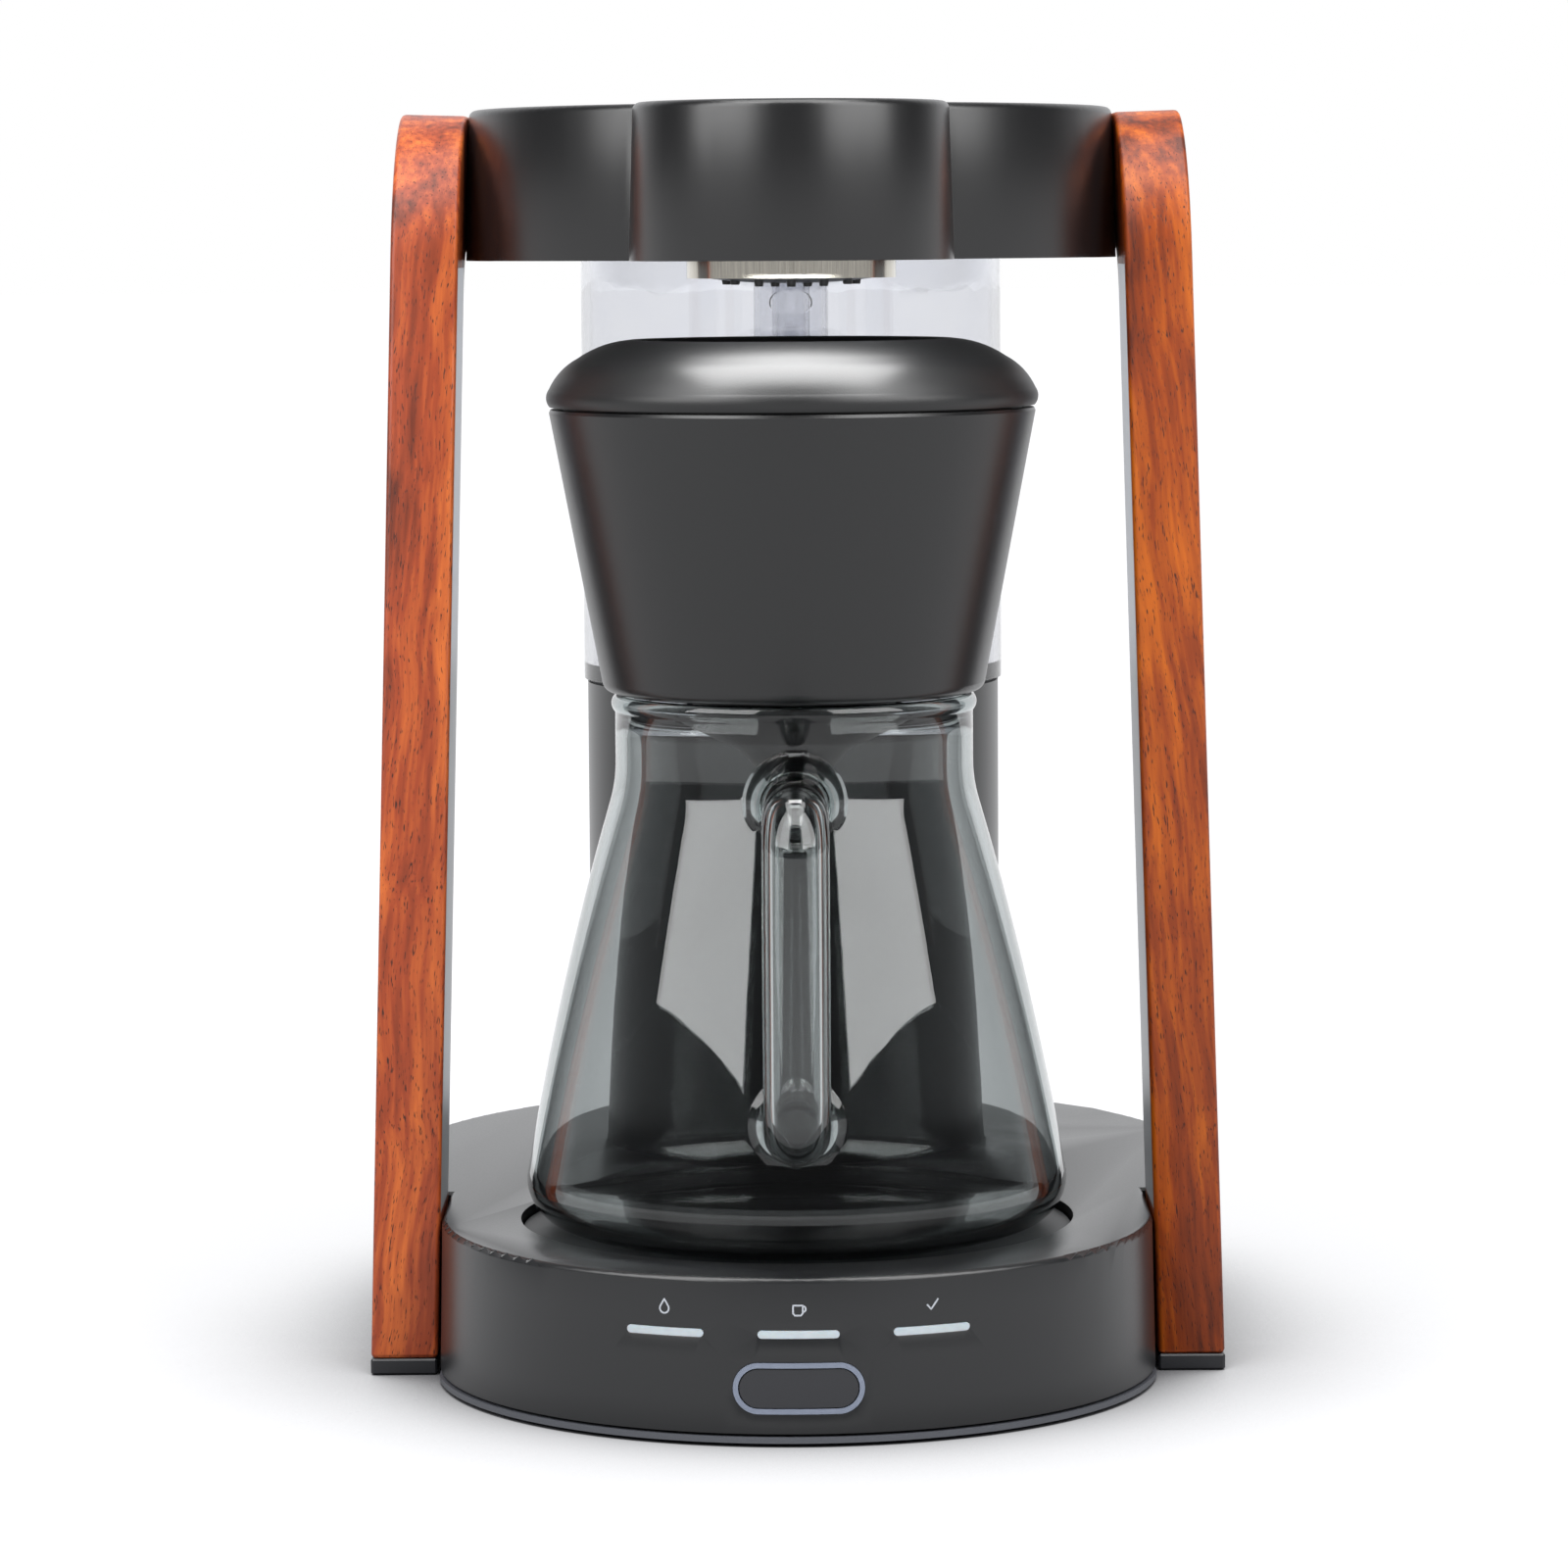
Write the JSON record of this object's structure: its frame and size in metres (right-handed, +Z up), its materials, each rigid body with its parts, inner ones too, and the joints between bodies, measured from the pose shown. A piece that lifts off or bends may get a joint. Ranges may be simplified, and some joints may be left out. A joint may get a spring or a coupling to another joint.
{
  "type": "coffee brewer",
  "caption": "Household drip coffee brewer: round-ended base, two bent wooden legs, top deck with shower head, clear water tank behind, glass carafe with a cone filter holder.",
  "frame": {"origin": "centre of the outer box's underside, on the counter between the feet", "axes": "+Z up, the front with the button and the carafe handle faces -Y, +X to the right of someone facing the front"},
  "size_m": [0.2284, 0.327, 0.3393],
  "materials": {
    "cast_charcoal": "satin powder coat on die-cast aluminium",
    "plate_grey": "satin",
    "cover_black": "matte",
    "oiled_wood": "oiled and satin lacquered",
    "satin_aluminium": "satin anodised",
    "foot_cap": "satin",
    "dark_rubber": "matte",
    "silicone": "matte",
    "zinc_screw": "zinc plated",
    "light_lens": "translucent",
    "button_charcoal": "satin",
    "circuit_board": "solder resist",
    "switch_black": "matte",
    "clear_tank": "clear",
    "clear_tube": "clear",
    "column_grey": "satin",
    "brushed_ring": "turned and brushed",
    "shower_steel": "pressed and polished",
    "inner_plastic": "matte",
    "heater_aluminium": "as extruded",
    "lid_charcoal": "satin",
    "dripper_charcoal": "fine texture",
    "cone_black": "satin",
    "smoked_glass": "smoke tinted, blown"
  },
  "bodies": {
    "frame": {"base_shell": "cast_charcoal", "deck_shell": "cast_charcoal", "base_plate": "plate_grey", "deck_cover": "cover_black", "leg_left": "oiled_wood", "leg_right": "oiled_wood", "leg_liner_left": "satin_aluminium", "leg_liner_right": "satin_aluminium", "leg_foot_left": "foot_cap", "leg_foot_right": "foot_cap", "base_feet": "dark_rubber", "cord_gland": "dark_rubber", "well_pad": "dark_rubber", "tank_upper_seal": "silicone", "tank_lower_seal": "silicone", "inlet_hose": "silicone", "riser_hose": "silicone", "base_screws": "zinc_screw", "deck_screws": "zinc_screw", "base_leg_bolts": "zinc_screw", "deck_leg_bolts": "zinc_screw", "indicator_lens_left": "light_lens", "indicator_lens_centre": "light_lens", "indicator_lens_right": "light_lens", "button_light_ring": "light_lens", "control_board": "circuit_board", "power_board": "circuit_board", "tact_switch": "switch_black", "thermostat": "switch_black", "tank_shell": "clear_tank", "riser_tube": "clear_tube", "riser_sleeve": "clear_tube", "column_housing": "column_grey", "shower_ring": "brushed_ring", "shower_plate": "shower_steel", "shower_manifold": "inner_plastic", "water_channel": "inner_plastic", "fill_neck": "inner_plastic", "check_valve": "inner_plastic", "heater_tube": "heater_aluminium", "heater_bracket": "heater_aluminium"},
    "button": {"brew_button": "button_charcoal"},
    "carafe": {"carafe_glass": "smoked_glass", "carafe_handle": "smoked_glass"},
    "dripper": {"dripper_body": "dripper_charcoal", "filter_cone": "cone_black", "dripper_gasket": "silicone"},
    "collar": {"dripper_collar": "dripper_charcoal"},
    "lid": {"tank_lid": "lid_charcoal", "lid_seal": "silicone"}
  },
  "joints": [
    {"name": "carafe_pull", "type": "slide", "parent": "frame", "child": "carafe", "axis": [0, -0.9903, 0.1386], "range_m": [0, 0.24]},
    {"name": "dripper_lift", "type": "slide", "parent": "carafe", "child": "dripper", "axis": [0, 0, 1], "range_m": [0, 0.009]},
    {"name": "collar_lift", "type": "slide", "parent": "dripper", "child": "collar", "axis": [0, 0, 1], "range_m": [0, 0.0045]},
    {"name": "tank_lid_lift", "type": "slide", "parent": "frame", "child": "lid", "axis": [0, 0, 1], "range_m": [0, 0.05]},
    {"name": "brew_button_press", "type": "slide", "parent": "frame", "child": "button", "axis": [0, 1, 0], "range_m": [0, 0.001], "stiffness_N_per_m": 1500, "springref_m": -0.0003}
  ]
}
